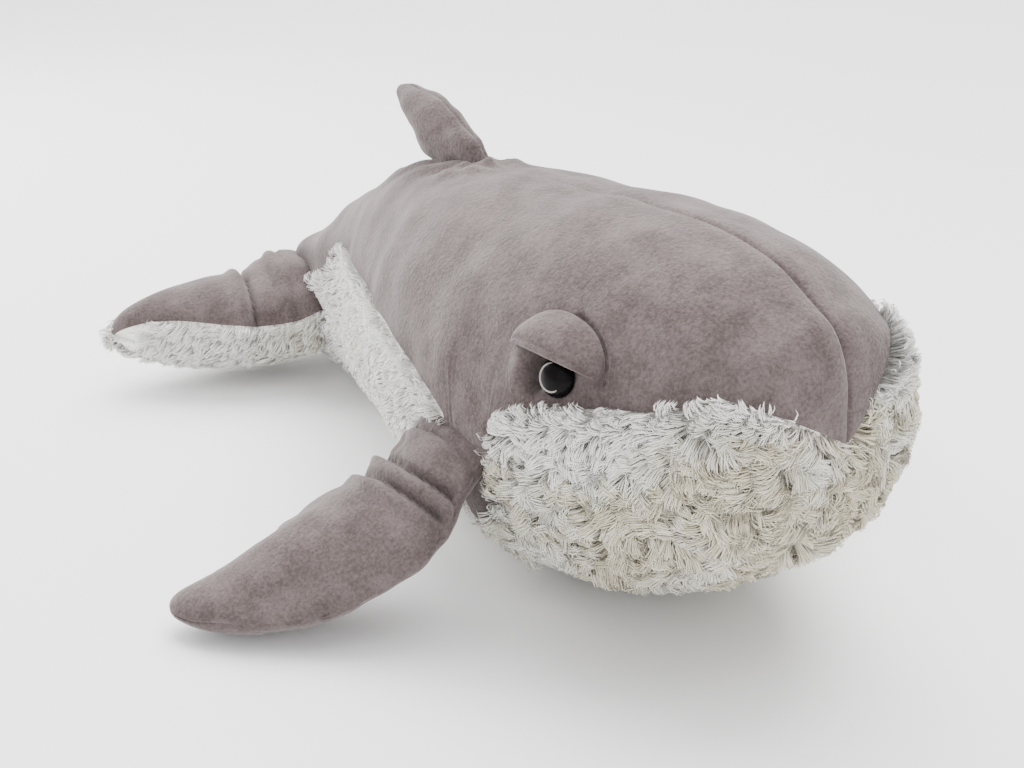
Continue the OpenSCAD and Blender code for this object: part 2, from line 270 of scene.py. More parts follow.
# %% [markdown]
# ## Seams, dents and puckers
# Real fabric shows where it was sewn. The two back panels meet in a fine valley along the
# middle of the head, the eye's stem pulls the cloth in, the fin's root gathers the back, and
# loose filling leaves shallow hollows. These are moves of the grid along its normals.


# %% Places on the body
def sample(grid, r, angle):
    """Value of a grid at row position r and angle, between its points."""
    i = np.clip(np.asarray(r, float), 0, 1) * (len(grid) - 1)
    j = np.mod(np.asarray(angle, float), 2 * np.pi) / (2 * np.pi) * COLUMNS
    i, j = np.broadcast_arrays(i, j)
    i0 = np.clip(i.astype(int), 0, len(grid) - 2)
    j0 = j.astype(int) % COLUMNS
    u, v = (i - i0)[..., None], (j - np.floor(j))[..., None]
    j1 = (j0 + 1) % COLUMNS
    near = grid[i0, j0] * (1 - v) + grid[i0, j1] * v
    far = grid[i0 + 1, j0] * (1 - v) + grid[i0 + 1, j1] * v
    return near * (1 - u) + far * u


EYE_T = 0.15
EYE_A = math.radians(160)
eye_row = NOSE_SHARE + EYE_T / STOCK_T * (1 - NOSE_SHARE)
probe = 1e-3
eye_centre = drafted_body(eye_row, EYE_A)
eye_out = unit(
    np.cross(
        drafted_body(eye_row, EYE_A + probe) - drafted_body(eye_row, EYE_A - probe),
        drafted_body(eye_row + probe, EYE_A) - drafted_body(eye_row - probe, EYE_A),
    )
)
if eye_out[0] > 0:
    eye_out = -eye_out
FIN_Y = 0.051
# the eyelid: share of the body's length at its middle, its reach each way, and the angles in
# degrees of its free edge, that edge's slope and bow, and the height of the arch above it
LID_T = 0.1545
LID_REACH = 0.0505
LID_ANGLE = 156.2
LID_SLOPE = 2.3
LID_BOW = 1.4
LID_RISE = 13.6


def lid_edges(u):
    """For u from -1 at the front corner to 1: arch height, free edge and share of the length."""
    arch = np.sqrt(np.clip(1 - u * u, 0, 1))
    return arch, LID_ANGLE - LID_SLOPE * u - LID_BOW * arch, LID_T + LID_REACH * u


def row_of(t):
    return NOSE_SHARE + t / STOCK_T * (1 - NOSE_SHARE)


# lines on the body: where the lid is sewn down at its front, and the dart above its middle
seam_arch, seam_free, seam_t = lid_edges(np.linspace(-1, -0.12, 50))
seam_line_angle = np.radians(seam_free - LID_RISE * seam_arch**0.8)
lid_seam = sample(smoothed_body, row_of(seam_t + 0.004 * seam_arch), seam_line_angle)
dart_rows = row_of(LID_T - 0.008 + np.linspace(0, 0.020, 30))
dart = sample(smoothed_body, dart_rows, np.radians(np.linspace(142, 133, 30)))
print("eye at", eye_centre.round(4), "facing", eye_out.round(3))


# %% Shape the cloth
def mirrored(points):
    """The points on the right side (-X), so one rule shapes both sides."""
    return np.concatenate([-np.abs(points[..., :1]), points[..., 1:]], -1)


def distance_to(points, line):
    """Distance from each point to the nearest point of a line of points."""
    near = np.full(points.shape[:-1], 1.0)
    for place in line:
        near = np.minimum(near, np.linalg.norm(points - place, axis=-1))
    return near


def cloth_moves(points):
    """How far each point of the body's cloth moves out along its normal."""
    side = mirrored(points)
    x, y, z = side[..., 0], side[..., 1], side[..., 2]
    above = soft_step(z, 0.10, 0.15)
    move = 0.0010 * wavy(points, 0.085, 3) + 0.0006 * wavy(points, 0.036, 4)
    # centre seam of the back, deepest on the head
    depth = 0.0019 - 0.0016 * soft_step(y, -0.20, -0.09)
    move -= above * depth * bump(x, 0, 0.0013)
    move += above * 0.0007 * bump(x, -0.008, 0.005)
    # the eye's stem pulls the cloth in, most behind the eye under the lid
    from_eye = side - eye_centre
    move -= 0.0036 * bump(np.linalg.norm(from_eye, axis=-1), 0, 0.015)
    move -= 0.0270 * hill(from_eye, (-0.002, 0.0135, 0.0015), (0.030, 0.0050, 0.0100), 1.5)
    move += 0.0044 * hill(from_eye, (-0.004, 0.0235, 0.001), (0.02, 0.0065, 0.013))
    # the lid is sewn down in a crease, and a short dart runs up from it
    move -= 0.0028 * bump(distance_to(side, lid_seam), 0, 0.0020)
    move -= 0.0007 * bump(distance_to(side, dart), 0, 0.0018)
    # small fold that sticks out in front of the fin, and creases from it
    move += 0.0045 * hill(side, (0, FIN_Y - 0.043, 0.206), (0.006, 0.0045, 0.03))
    away = np.hypot(x, y - FIN_Y + 0.040)
    move += above * bump(away, 0.020, 0.013) * 0.0013 * np.sin(7 * np.arctan2(x, -(y - FIN_Y + 0.030)))
    # gathers round the fin's root
    from_fin = np.hypot(x, np.maximum(np.abs(y - FIN_Y) - 0.036, 0))
    near_fin = above * bump(from_fin, 0.016, 0.012)
    move += near_fin * (0.0016 + 0.0014 * np.sin(y / 0.0062 + 3 * x / 0.01))
    # gathers where the flipper is sewn in and where the stock meets the fluke
    from_flipper = np.hypot(y + 0.105, z - 0.088)
    ring = bump(from_flipper, 0.050, 0.014) * soft_step(-x, 0.06, 0.09)
    move += ring * 0.0006 * np.sin(6 * np.arctan2(z - 0.088, y + 0.105) * 2)
    stock = soft_step(y, 0.135, 0.19)
    move += stock * 0.0020 * np.sin(z / 0.0052 + y / 0.016) * soft_step(z, 0.03, 0.07)
    return move


body_moves = cloth_moves(smoothed_body)
body_grid = above_floor(smoothed_body + body_moves[..., None] * smoothed_normal, FLOOR_GAP)
body_normal = grid_normals(body_grid)


def on_body(r, angle, inset=0.0):
    """Point on the body's cloth, moved in by inset."""
    point = sample(body_grid, r, angle)
    out = unit(sample(body_normal, r, angle))
    return point - out * np.asarray(inset)[..., None]


print("cloth moved by up to", round(float(np.abs(body_moves).max()) / MM, 1), "mm")

# %% [markdown]
# ## From points to closed shells
# Each panel of a soft toy is one sheet of fabric with a thickness. A panel is made as a grid,
# and a Solidify modifier, applied at once, gives it its inner side and its cut edge. That
# keeps every piece closed, so it can also be printed or measured.


# %% Mesh helpers
def select_only(obj):
    for other in bpy.context.selected_objects:
        other.select_set(False)
    obj.select_set(True)
    bpy.context.view_layer.objects.active = obj


def new_object(name, data):
    obj = bpy.data.objects.new(name, data)
    bpy.context.scene.collection.objects.link(obj)
    return obj


def mesh_from(name, points, faces):
    mesh = bpy.data.meshes.new(name)
    mesh.from_pydata(points.reshape(-1, 3), [], faces)
    return new_object(name, mesh)


def shade_smooth(obj):
    obj.data.polygons.foreach_set("use_smooth", [True] * len(obj.data.polygons))


def grid_faces(rows, cols, closed):
    """The squares of a grid; closed joins its last column to its first."""
    return [
        (i * cols + j, i * cols + (j + 1) % cols, (i + 1) * cols + (j + 1) % cols, (i + 1) * cols + j)
        for i in range(rows - 1)
        for j in range(cols if closed else cols - 1)
    ]


def cloth_from_grid(name, grid, out_from, closed=False):
    """A mesh from a grid, facing away from a point. Doubled points at the ends become poles."""
    obj = mesh_from(name, grid, grid_faces(*grid.shape[:2], closed))
    work = bmesh.new()
    work.from_mesh(obj.data)
    bmesh.ops.remove_doubles(work, verts=work.verts, dist=1e-6)
    centre = Vector(out_from)
    outward = sum(f.normal.dot(f.calc_center_median() - centre) * f.calc_area() for f in work.faces)
    if outward < 0:
        bmesh.ops.reverse_faces(work, faces=work.faces)
    work.to_mesh(obj.data)
    work.free()
    shade_smooth(obj)
    return obj


def thicken(obj, thickness):
    """Gives an open panel its inner side and its cut edge, and keeps that edge sharp."""
    shell = obj.modifiers.new("thickness", "SOLIDIFY")
    shell.thickness = thickness
    shell.offset = -1
    shell.use_rim = True
    select_only(obj)
    bpy.ops.object.modifier_apply(modifier="thickness")
    bpy.ops.object.shade_smooth_by_angle(angle=math.radians(50))


def dress(piece, material, node):
    """A soft piece's material, and the CAD node it stands for, which is hidden."""
    piece.data.materials.append(material)
    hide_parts(node)
    print(piece.name, len(piece.data.polygons), "faces")


FABRIC = 0.0025
BODY_MIDDLE = (0, 0, 0.10)
print("mesh helpers are ready")

# %% [markdown]
# ## Pile colours that repeat: shader groups
# Plush shows two effects everywhere: soft patches where the pile leans one way or the other,
# and a fine grain of single tufts. Both are built once as node groups with inputs, and each
# material places them with its own values.


# %% Node group helpers
def new_group(name, inputs, outputs):
    group = bpy.data.node_groups.new(name, "ShaderNodeTree")
    for label, kind, value in inputs:
        socket = group.interface.new_socket(label, in_out="INPUT", socket_type=kind)
        socket.default_value = value
    for label, kind in outputs:
        group.interface.new_socket(label, in_out="OUTPUT", socket_type=kind)
    return group, group.nodes.new("NodeGroupInput"), group.nodes.new("NodeGroupOutput")


def noise(tree, vector, scale, detail, roughness=0.5):
    node = tree.nodes.new("ShaderNodeTexNoise")
    node.inputs["Detail"].default_value = detail
    node.inputs["Roughness"].default_value = roughness
    tree.links.new(vector, node.inputs["Vector"])
    if isinstance(scale, float):
        node.inputs["Scale"].default_value = scale
    else:
        tree.links.new(scale, node.inputs["Scale"])
    return node.outputs["Fac"]


def math_node(tree, operation, a, b):
    node = tree.nodes.new("ShaderNodeMath")
    node.operation = operation
    for socket, value in zip(node.inputs, (a, b)):
        if isinstance(value, (int, float)):
            socket.default_value = value
        else:
            tree.links.new(value, socket)
    return node.outputs[0]


def mix_colour(tree, factor, a, b):
    node = tree.nodes.new("ShaderNodeMix")
    node.data_type = "RGBA"
    for socket, value in zip((node.inputs[0], node.inputs[6], node.inputs[7]), (factor, a, b)):
        if isinstance(value, tuple):
            socket.default_value = (*value, 1.0)
        else:
            tree.links.new(value, socket)
    return node.outputs[2]


# %% Group: short pile
pile_group, group_in, group_out = new_group(
    "short_pile",
    [
        ("Vector", "NodeSocketVector", (0, 0, 0)),
        ("Patch scale", "NodeSocketFloat", 48.0),
        ("Grain scale", "NodeSocketFloat", 560.0),
    ],
    [("Patches", "NodeSocketFloat"), ("Grain", "NodeSocketFloat"), ("Height", "NodeSocketFloat")],
)
patches = noise(pile_group, group_in.outputs["Vector"], group_in.outputs["Patch scale"], 4.0, 0.62)
grain = noise(pile_group, group_in.outputs["Vector"], group_in.outputs["Grain scale"], 2.0, 0.7)
tufts = noise(pile_group, group_in.outputs["Vector"], 330.0, 2.0, 0.6)
height = math_node(pile_group, "ADD", math_node(pile_group, "MULTIPLY", grain, 0.6), tufts)
pile_group.links.new(patches, group_out.inputs["Patches"])
pile_group.links.new(grain, group_out.inputs["Grain"])
pile_group.links.new(height, group_out.inputs["Height"])
print("node group", pile_group.name)


# %% Materials
def new_material(name):
    material = bpy.data.materials.new(name)
    material.use_nodes = True
    tree = material.node_tree
    return material, tree, tree.nodes["Principled BSDF"]


def set_inputs(shader, values):
    for label, value in values.items():
        shader.inputs[label].default_value = value


def paint(tree, shader, factor, dark, light):
    """The shader's colour runs from dark to light by the factor."""
    tree.links.new(mix_colour(tree, factor, dark, light), shader.inputs["Base Color"])


def object_coordinates(tree):
    return tree.nodes.new("ShaderNodeTexCoord").outputs["Object"]


def add_bump(tree, shader, height, strength, distance):
    node = tree.nodes.new("ShaderNodeBump")
    node.inputs["Strength"].default_value = strength
    node.inputs["Distance"].default_value = distance
    tree.links.new(height, node.inputs["Height"])
    tree.links.new(node.outputs["Normal"], shader.inputs["Normal"])


def plush_material(name, dark, light, patch_scale=48.0):
    """Short-pile plush: leaning patches, a fine grain, and a soft sheen."""
    material, tree, shader = new_material(name)
    pile = tree.nodes.new("ShaderNodeGroup")
    pile.node_tree = pile_group
    pile.inputs["Patch scale"].default_value = patch_scale
    tree.links.new(object_coordinates(tree), pile.inputs["Vector"])
    factor = 0.5
    for output, strength in (("Grain", 1.9), ("Patches", 2.3)):
        centred = math_node(tree, "SUBTRACT", pile.outputs[output], 0.5)
        factor = math_node(tree, "ADD", math_node(tree, "MULTIPLY", centred, strength), factor)
    paint(tree, shader, factor, dark, light)
    set_inputs(shader, {"Roughness": 0.92, "Specular IOR Level": 0.15, "Sheen Weight": 0.30})
    set_inputs(shader, {"Sheen Roughness": 0.45, "Sheen Tint": (1.0, 0.96, 0.95, 1.0)})
    add_bump(tree, shader, pile.outputs["Height"], 0.55, 0.0012)
    return material


mauve = plush_material("mauve_plush", (0.074, 0.055, 0.053), (0.150, 0.119, 0.115))
print("material", mauve.name)

# %% [markdown]
# ## The back: two plush panels
# Each back panel runs from the centre seam down to the fur. The grid's first column is the
# middle line and its last is the seam with the fur, so both panels and the fur base share
# their edges. The panels cross the tail's joint.


def panel_grid(rows, cols, from_top, inset=0.0, rise=0.0):
    """Grid of one panel. from_top: centre seam to fur seam; otherwise seam to seam below."""
    # rows lie closer together round the eye, where the cloth has its small folds
    r = np.interp(np.linspace(0, 1, rows), (0, 0.2, 0.5, 1), (0, 0.17, 0.29, 1))[:, None]
    share = np.linspace(0, 1, cols)[None, :]
    edge, far_edge = seam_angle(r, rise), seam_angle(r, LEFT_RISE)
    if from_top:
        angle = np.pi / 2 + (edge - np.pi / 2) * share
    else:
        angle = edge + (3 * np.pi - far_edge - edge) * share
    return on_body(r + 0 * share, angle, inset + 0 * angle)


def blend_tail(piece):
    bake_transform(piece)


for side, rise in (("right", 0.0), ("left", LEFT_RISE)):
    panel = panel_grid(310, 120, True, rise=rise) * MIRROR[side]
    piece = cloth_from_grid(f"back_fabric_{side}", panel, BODY_MIDDLE)
    thicken(piece, FABRIC)
    dress(piece, mauve, f"back_panel_{side}")
    blend_tail(piece)

# %% [markdown]
# ## The fur's backing
# Below the seam the whale is long-pile fabric. Its woven backing lies a pile's depth inside
# the frame's surface, so that the pile, and not the backing, fills the whale's outline.

# %% Fur backing
PILE = 0.0055
PILE_AT_SEAM = 0.0022
BACKING = 0.0015
BACKING_GAP = 0.002
cream_backing = plush_material("fur_backing", (0.88, 0.865, 0.82), (0.96, 0.95, 0.92), 60.0)
seam_share = np.linspace(0, 1, 170)[None, :]
from_seam = soft_step(np.minimum(seam_share, 1 - seam_share), 0, 0.05)
pile_depth = PILE_AT_SEAM + (PILE - PILE_AT_SEAM) * from_seam
backing_grid = above_floor(panel_grid(240, 170, False, pile_depth), BACKING_GAP)
belly_backing = cloth_from_grid("belly_backing", backing_grid, BODY_MIDDLE)
thicken(belly_backing, BACKING)
dress(belly_backing, cream_backing, "belly_panel")
blend_tail(belly_backing)

# %% [markdown]
# ## Stuffed limbs
# A flipper, the fluke and the fin are each two pieces of cloth sewn round their edge, turned
# and stuffed. Each is first lofted as one closed pillow from its stations. A cloth
# simulation with air pressure then swells the pillow, which tightens it and rounds its
# edges, and the pillow is cut back into its two skins along the seam.


# %% Loft, swell and cut
def angles_round(cols):
    return np.arange(cols)[None, :] / cols * 2 * np.pi


def pillow(rows, cols, section):
    """Grid of a closed pillow: section(s, angle) for s from root to tip, all round."""
    s = np.asarray(rows, float)[:, None]
    angle = angles_round(cols)
    return section(s + 0 * angle, angle + 0 * s)


def pillow_mesh(name, grid):
    """A closed mesh from a pillow's grid, with a flat face over each end."""
    rows, cols = grid.shape[:2]
    faces = grid_faces(rows, cols, True)
    faces.append(tuple(range(cols))[::-1])
    faces.append(tuple((rows - 1) * cols + j for j in range(cols)))
    obj = mesh_from(name, grid, faces)
    work = bmesh.new()
    work.from_mesh(obj.data)
    bmesh.ops.recalc_face_normals(work, faces=work.faces)
    work.to_mesh(obj.data)
    work.free()
    return obj


def swollen(grid, held_rows, cap):
    """The pillow's grid after a short pressure simulation. Held rows stay; cap limits the move."""
    obj = pillow_mesh("pillow", grid)
    hold = obj.vertex_groups.new(name="hold")
    hold.add(np.flatnonzero(np.repeat(held_rows, grid.shape[1])).tolist(), 1.0, "REPLACE")
    cloth = obj.modifiers.new("cloth", "CLOTH")
    setting = cloth.settings
    setting.quality = 6
    setting.mass = 0.3
    setting.tension_stiffness = 15
    setting.compression_stiffness = 15
    setting.shear_stiffness = 5
    setting.bending_stiffness = 0.6
    setting.use_pressure = True
    setting.uniform_pressure_force = 4.0
    setting.vertex_group_mass = "hold"
    setting.effector_weights.gravity = 0
    cloth.collision_settings.use_collision = False
    scene = bpy.context.scene
    for frame_number in range(1, 21):
        scene.frame_set(frame_number)
    bpy.context.view_layer.update()
    evaluated = obj.evaluated_get(bpy.context.evaluated_depsgraph_get())
    moved = np.empty(len(obj.data.vertices) * 3)
    evaluated.data.vertices.foreach_get("co", moved)
    scene.frame_set(1)
    moved = moved.reshape(grid.shape)
    bpy.data.objects.remove(obj)
    change = moved - grid
    far = np.linalg.norm(change, axis=-1, keepdims=True)
    change *= np.minimum(1, cap / np.maximum(far, 1e-9))
    # the small rings at the tips move as one, so the seam there never folds over itself
    from_end = np.minimum(np.arange(len(grid)), len(grid) - 1 - np.arange(len(grid)))
    as_one = 1 - soft_step(from_end, 1, 8)[:, None, None]
    change += (change.mean(axis=1, keepdims=True) - change) * as_one
    return grid + change


def finer(grid):
    """The grid with twice the rows and columns, on a smooth curve through its points."""

    def along(points, closed):
        n = len(points)
        at = np.arange(n * 2) / 2 if closed else np.linspace(0, n - 1, (n - 1) * 2 + 1)
        i = np.floor(at).astype(int)
        u = (at - i)[:, None, None]
        pick = (lambda k: points[k % n]) if closed else (lambda k: points[np.clip(k, 0, n - 1)])
        a, b, c, d = pick(i - 1), pick(i), pick(i + 1), pick(i + 2)
        return 0.5 * (
            2 * b + (c - a) * u + (2 * a - 5 * b + 4 * c - d) * u**2 + (3 * b - a - 3 * c + d) * u**3
        )

    rows = along(grid, False)
    return along(rows.transpose(1, 0, 2), True).transpose(1, 0, 2)


def spread_rows(rows, grid):
    """The rows' places along the limb, spread over the rows of the finer grid."""
    place = np.linspace(0, len(rows) - 1, len(grid))
    return np.interp(place, np.arange(len(rows)), rows)[:, None]


def half_skin(grid, first, two_tips=False, rise=0.0):
    """One skin of a pillow, closed at its tips. rise lifts the seam by that many columns."""
    rows, cols = grid.shape[:2]
    rise = np.broadcast_to(rise, rows)[:, None]
    share = np.linspace(0, 1, cols // 2 + 1)[None, :]
    start, span = (rise, cols / 2 - 2 * rise) if first else (cols / 2 - rise, cols / 2 + 2 * rise)
    place = start + span * share

    def at(row, columns):
        low = np.floor(columns).astype(int)
        u = (columns - low)[..., None]
        return grid[row, low % cols] * (1 - u) + grid[row, (low + 1) % cols] * u

    def closed_tip(row):
        return (at(row, place[row]) + at(row, -place[row])) / 2

    ends = [at(np.arange(rows)[:, None], place), closed_tip(-1)[None]]
    if two_tips:
        ends.insert(0, closed_tip(0)[None])
    return np.concatenate(ends)


def round_off(s):
    return np.sqrt(np.clip(1 - np.abs(s) ** 8, 0.004, 1))


def finish_skin(piece, material, node, thickness=0.0012):
    thicken(piece, thickness)
    dress(piece, material, node)


def fibre_from(name, grid, node, body_name):
    """A lump of filling from a closed pillow grid."""
    obj = pillow_mesh(name, grid)
    shade_smooth(obj)
    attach(obj, body_name)
    dress(obj, fibre, node)


def inset_grid(grid, distance):
    """The grid moved in along its normals, for the filling under a skin."""
    return (grid - grid_normals(grid) * distance)[1:-1]


fibre, fibre_tree, fibre_shader = new_material("fibre_filling")
fibre_noise = noise(fibre_tree, object_coordinates(fibre_tree), 260.0, 4.0, 0.7)
paint(fibre_tree, fibre_shader, fibre_noise, (0.70, 0.70, 0.70), (0.92, 0.92, 0.92))
set_inputs(fibre_shader, {"Roughness": 1.0})
add_bump(fibre_tree, fibre_shader, fibre_noise, 0.8, 0.002)
print("limb tools are ready")

# %% [markdown]
# ## Flippers
# A flipper is a long leaf that droops to the floor. It is sewn on along a short line, so its
# filling is pinched there, and the spare cloth stands in crescent folds beside the root.

# %% Flippers
FLIPPER_X = 0.119
FLIPPER_TIP = -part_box("flipper_right_upper")[0][0]
FLIPPER_W = 0.100
LIMB_COLUMNS = 64
# share of the way to the tip, middle y, middle z, half width / (FLIPPER_W / 2), half thickness
FLIPPER_STATIONS = [
    (-0.30, -0.110, 0.106, 0.52, 0.012),
    (-0.10, -0.113, 0.088, 0.64, 0.017),
    (0.00, -0.115, 0.076, 0.72, 0.0205),
    (0.12, -0.1135, 0.061, 0.86, 0.0215),
    (0.35, -0.105, 0.040, 0.99, 0.0205),
    (0.62, -0.096, 0.023, 0.80, 0.0185),
    (0.82, -0.088, 0.017, 0.58, 0.015),
    (1.00, -0.078, 0.015, 0.44, 0.012),
]


def flipper_section(s, angle):
    middle_y, middle_z, half_w, half_t = curves_at(FLIPPER_STATIONS, s)
    x = -(FLIPPER_X + (FLIPPER_TIP + 0.001 - FLIPPER_X) * s)
    y = middle_y + half_w * FLIPPER_W / 2 * round_off(s) * np.cos(angle)
    z = middle_z + half_t * round_off(s) * 0.94 * np.sin(angle)
    return np.stack([x, y, z], -1)


flipper_rows = np.concatenate([np.linspace(-0.30, 0.9, 56), 1 - np.linspace(0.3, 0.012, 16) ** 2])
flipper_pillow = pillow(flipper_rows, LIMB_COLUMNS, flipper_section)
flipper_pillow = finer(swollen(flipper_pillow, flipper_rows < -0.12, cap=0.004))
flipper_share = spread_rows(flipper_rows, flipper_pillow)
flipper_angle = angles_round(2 * LIMB_COLUMNS)
# share of the way to the tip where a fold meets the edge, how far it bows, its tilt, its depth
FLIPPER_CREASES = [
    (-0.06, 0.035, 0.0, 0.0032),
    (0.050, 0.062, 0.008, 0.0056),
    (0.135, 0.052, 0.024, 0.0042),
]


def flipper_folds(points, s, angle, seed):
    """Crescent folds by the root, soft dents along the leaf, and puckers at the seam."""
    chord = np.cos(angle)
    top = soft_step(np.sin(angle), -0.1, 0.5)
    move = 0.0013 * wavy(points, 0.06, seed) + 0.0006 * wavy(points, 0.025, seed + 1)
    for place, bow, tilt, depth in FLIPPER_CREASES:
        line = place + bow * (1 - chord**2) + tilt * chord
        move -= depth * bump(s, line, 0.014) * top
        move += 0.60 * depth * bump(s, line + 0.032, 0.022) * top
    move -= 0.0007 * bump(np.sin(angle), 0, 0.10)
    puckers = np.sin(s * 62 + 2 * np.sin(s * 11)) * soft_step(s, 0, 0.1)
    return move + 0.0007 * bump(np.sin(angle), 0, 0.45) * puckers


moves = flipper_folds(flipper_pillow, flipper_share, flipper_angle, 11)
flipper_grid = above_floor(flipper_pillow + moves[..., None] * grid_normals(flipper_pillow), FLOOR_GAP)
FLIPPER_MIDDLE = np.array([-0.17, -0.10, 0.035])
coarse = flipper_grid[::3, ::4]
reach = coarse[..., 0].mean(1)
flipper_core = inset_grid(coarse[(reach < -0.155) & (reach > -0.240)], 0.0085)
for side, turn in MIRROR.items():
    limb = f"flipper_{side}"
    for part, first in (("upper", True), ("under", False)):
        half = half_skin(flipper_grid, first) * turn
        skin = cloth_from_grid(f"{limb}_{part}_skin", half, FLIPPER_MIDDLE * turn)
        finish_skin(skin, mauve, f"{limb}_{part}")
        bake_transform(skin)
    fibre_from(f"{limb}_fibre", flipper_core * turn, f"{limb}_filling", limb)

# %% [markdown]
# ## Fluke
# The fluke is one wide pillow across the end of the tail: plush on top, fur below. Cloth
# gathers where the tail narrows into it, and a deep crease runs across each lobe.

# %% Fluke
FLUKE_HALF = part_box("fluke_top")[1][0]
# share of the half span, middle y, reach forwards, reach backwards, middle z, up, down
FLUKE_STATIONS = [
    (0.00, 0.262, 0.058, 0.034, 0.049, 0.028, 0.043),
    (0.12, 0.256, 0.064, 0.038, 0.050, 0.040, 0.043),
    (0.22, 0.248, 0.066, 0.050, 0.048, 0.045, 0.043),
    (0.32, 0.248, 0.058, 0.055, 0.044, 0.037, 0.041),
    (0.53, 0.254, 0.049, 0.050, 0.042, 0.036, 0.039),
    (0.77, 0.263, 0.032, 0.030, 0.041, 0.033, 0.033),
    (1.00, 0.272, 0.022, 0.020, 0.041, 0.026, 0.027),
]


def fluke_section(v, angle):
    s = np.abs(v)
    off = round_off(s)
    middle_y, forwards, backwards, middle_z, up, down = curves_at(FLUKE_STATIONS, s)
    reach_y = np.where(np.cos(angle) < 0, forwards, backwards)
    reach_z = np.where(np.sin(angle) < 0, down, up)
    y = middle_y + 0.97 * reach_y * off * np.cos(angle)
    z = middle_z + 0.95 * reach_z * off * np.sin(angle)
    return np.stack([(FLUKE_HALF - 0.003) * v, y, z], -1)


lobe_rows = np.concatenate([np.linspace(0, 0.88, 34), 1 - np.linspace(0.33, 0.012, 16) ** 2])
fluke_rows = np.concatenate([-lobe_rows[:0:-1], lobe_rows])
fluke_pillow = pillow(fluke_rows, LIMB_COLUMNS, fluke_section)
fluke_pillow = finer(swollen(fluke_pillow, np.abs(fluke_rows) < 0.16, cap=0.004))
fluke_share = spread_rows(fluke_rows, fluke_pillow)
fluke_angle = angles_round(2 * LIMB_COLUMNS)


def fluke_folds(points, v, angle):
    """Folds across each lobe, and puckers at the seam."""
    s = np.abs(v)
    top = soft_step(np.sin(angle), -0.2, 0.4)
    move = 0.0012 * wavy(points, 0.07, 21) + 0.0006 * wavy(points, 0.03, 22)
    lean = -0.080 * np.cos(angle)
    for place, width, depth in ((0.395, 0.013, 0.0062), (0.290, 0.013, 0.0018), (0.225, 0.013, 0.0024)):
        move -= depth * bump(s, place + lean, width) * (0.35 + 0.65 * top)
        move += 0.5 * depth * bump(s, place + lean + 0.04, 0.025) * top
    move -= 0.0012 * bump(np.sin(angle), 0, 0.10)
    move += 0.0007 * bump(np.sin(angle), 0, 0.4) * np.sin(s * 75)
    return move


moves = fluke_folds(fluke_pillow, fluke_share, fluke_angle)
fluke_grid = above_floor(fluke_pillow + moves[..., None] * grid_normals(fluke_pillow), FLOOR_GAP)
FLUKE_MIDDLE = (0, 0.255, 0.045)
# the seam stands above the edge, by this many columns, most at the tips
fluke_seam = 6 + 8 * soft_step(np.abs(fluke_share[:, 0]), 0.40, 0.98)
fluke_top = half_skin(fluke_grid, True, True, fluke_seam)
fluke_top_skin = cloth_from_grid("fluke_top_skin", fluke_top, FLUKE_MIDDLE)
finish_skin(fluke_top_skin, mauve, "fluke_top")
blend_tail(fluke_top_skin)
fluke_under = half_skin(fluke_grid, False, True, fluke_seam)
under_normal = -unit(np.cross(np.gradient(fluke_under, axis=0), np.gradient(fluke_under, axis=1)))
if under_normal[len(under_normal) // 2, fluke_under.shape[1] // 2, 2] > 0:
    under_normal = -under_normal
from_seam = soft_step(np.sin(np.linspace(0, np.pi, fluke_under.shape[1])), 0, 0.25)[None, :, None]
fluke_backing_grid = above_floor(fluke_under - under_normal * (0.0015 + 0.0035 * from_seam), BACKING_GAP)
fluke_backing = cloth_from_grid("fluke_backing", fluke_backing_grid, FLUKE_MIDDLE)
finish_skin(fluke_backing, cream_backing, "fluke_underside", BACKING)
blend_tail(fluke_backing)
fibre_from("fluke_fibre", inset_grid(fluke_grid[6:-6:2, ::2], 0.011), "fluke_filling", "tail_fluke")

# %% [markdown]
# ## Dorsal fin
# The fin is a small swept pillow. Its open end is tucked into the back's seam, so here the
# pillow simply runs down into the back and the back puckers up round it.

# %% Dorsal fin
fin_joint = next(j for j in frame["record"]["behaviour"]["joints"] if j["child"] == "dorsal_fin")
fin_root = np.array(fin_joint["pos_m"])
fin_axis = np.array(fin_joint["axis"])
fin_up = np.array([0, -fin_axis[2], fin_axis[1]])
FIN_H = 0.042
FIN_LEAN = 0.050
FIN_COLUMNS = 48
# share of the height, half length along the back, half thickness
FIN_STATIONS = [
    (-0.60, 0.030, 0.0065),
    (-0.20, 0.034, 0.0075),
    (0.00, 0.0355, 0.0095),
    (0.22, 0.0325, 0.0120),
    (0.60, 0.0270, 0.0120),
    (1.00, 0.0200, 0.0095),
]


def fin_section(s, angle):
    half_w, half_t = (half * round_off(np.maximum(s, 0)) for half in curves_at(FIN_STATIONS, s))
    back = FIN_LEAN * s - 0.004 * np.sin(np.pi * np.clip(s, 0, 1))
    along = back + half_w * np.cos(angle)
    place = fin_root + along[..., None] * fin_axis + (FIN_H * s)[..., None] * fin_up
    place[..., 0] += half_t * np.sin(angle)
    return place


